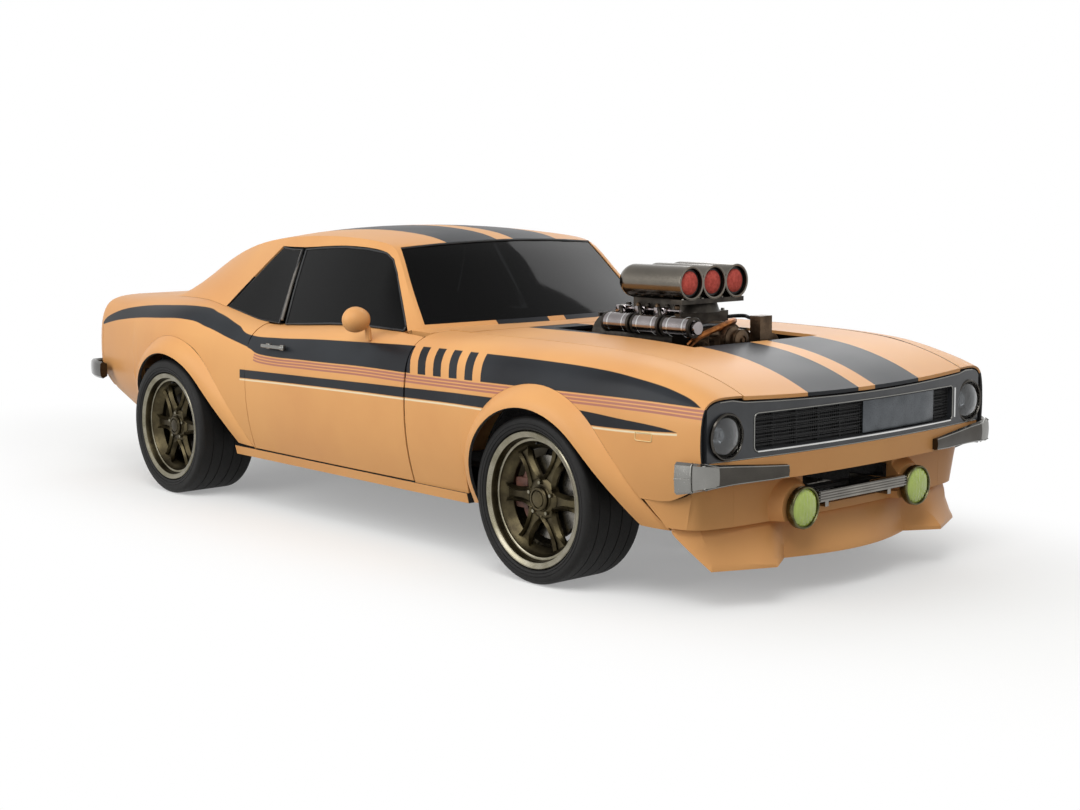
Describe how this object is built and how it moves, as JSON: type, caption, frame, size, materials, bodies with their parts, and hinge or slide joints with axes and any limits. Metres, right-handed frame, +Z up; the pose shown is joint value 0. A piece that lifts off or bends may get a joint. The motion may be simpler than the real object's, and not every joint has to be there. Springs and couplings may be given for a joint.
{
  "type": "muscle car",
  "caption": "Two-door coupe with flared arches, deep-dish wheels, chin splitter and a supercharged engine standing through an open bonnet; doors, lids, wheels and steering move.",
  "frame": {"origin": "on the floor, below the middle of the bounding box", "axes": "+X forward, +Y left, +Z up"},
  "size_m": [4.6449, 1.9712, 1.3469],
  "materials": {
    "paint": "gloss",
    "underseal": "matte",
    "bezel": "satin",
    "grille": "satin",
    "lamp": "clear",
    "fog": "gloss",
    "dark_chrome": "polished",
    "red_lens": "gloss",
    "tinted": "tinted",
    "trim": "grained",
    "leather": "satin",
    "cast": "rough",
    "polished": "polished",
    "gunmetal": "polished",
    "steel": "satin",
    "wheel": "satin",
    "tyre": "matte"
  },
  "bodies": {
    "chassis": {"underbody": "underseal", "cowl": "paint", "fender_right": "paint", "fender_left": "paint", "quarter_right": "paint", "quarter_left": "paint", "flares": "paint", "roof": "paint", "tail_panel": "paint", "nose_panel": "paint", "grille_bezel": "bezel", "front_valance": "paint", "splitter": "paint", "grille": "grille", "headlamps": "lamp", "fog_lamps": "fog", "front_bumpers": "dark_chrome", "rear_bumper": "dark_chrome", "tail_lamps": "red_lens", "windscreen": "tinted", "rear_glass": "tinted", "dashboard": "trim", "steering_wheel": "trim", "seats": "leather", "engine_block": "cast", "blower": "polished", "scoop": "gunmetal", "engine_drive": "cast", "gearbox": "cast", "exhaust": "steel", "fuel_tank": "underseal", "rear_axle": "steel", "front_suspension": "steel"},
    "steer_right": {"knuckle_right": "steel"},
    "steer_left": {"knuckle_left": "steel"},
    "wheel_front_right": {"wheel_fr": "wheel", "tyre_fr": "tyre"},
    "wheel_front_left": {"wheel_fl": "wheel", "tyre_fl": "tyre"},
    "wheel_rear_right": {"wheel_rr": "wheel", "tyre_rr": "tyre"},
    "wheel_rear_left": {"wheel_rl": "wheel", "tyre_rl": "tyre"},
    "door_right": {"door_right": "paint", "door_glass_right": "tinted", "door_fittings_right": "polished"},
    "door_left": {"door_left": "paint", "door_glass_left": "tinted", "door_fittings_left": "polished"},
    "bonnet": {"hood": "paint"},
    "boot_lid": {"deck_lid": "paint"}
  },
  "joints": [
    {"name": "steer_right", "type": "hinge", "parent": "chassis", "child": "steer_right", "pos_m": [1.42, -0.7765, 0.33], "axis": [0, 0, 1], "range_deg": [-28, 28]},
    {"name": "steer_left", "type": "hinge", "parent": "chassis", "child": "steer_left", "pos_m": [1.42, 0.7765, 0.33], "axis": [0, 0, 1], "range_deg": [-28, 28]},
    {"name": "spin_front_right", "type": "hinge", "parent": "steer_right", "child": "wheel_front_right", "pos_m": [1.42, -0.7765, 0.33], "axis": [0, 1, 0], "continuous": true},
    {"name": "spin_front_left", "type": "hinge", "parent": "steer_left", "child": "wheel_front_left", "pos_m": [1.42, 0.7765, 0.33], "axis": [0, 1, 0], "continuous": true},
    {"name": "spin_rear_right", "type": "hinge", "parent": "chassis", "child": "wheel_rear_right", "pos_m": [-1.323, -0.8045, 0.34], "axis": [0, 1, 0], "continuous": true},
    {"name": "spin_rear_left", "type": "hinge", "parent": "chassis", "child": "wheel_rear_left", "pos_m": [-1.323, 0.8045, 0.34], "axis": [0, 1, 0], "continuous": true},
    {"name": "door_right", "type": "hinge", "parent": "chassis", "child": "door_right", "pos_m": [0.526, -0.878, 0.62], "axis": [0, 0, 1], "range_deg": [0, 62]},
    {"name": "door_left", "type": "hinge", "parent": "chassis", "child": "door_left", "pos_m": [0.526, 0.878, 0.62], "axis": [0, 0, -1], "range_deg": [0, 62]},
    {"name": "bonnet", "type": "hinge", "parent": "chassis", "child": "bonnet", "pos_m": [0.802, 0, 0.89958], "axis": [0, -1, 0], "range_deg": [0, 42]},
    {"name": "boot_lid", "type": "hinge", "parent": "chassis", "child": "boot_lid", "pos_m": [-1.784, 0, 0.95056], "axis": [0, 1, 0], "range_deg": [0, 65]}
  ],
  "couplings": [
    {"joint": "steer_left", "follows": "steer_right", "ratio": 1}
  ]
}
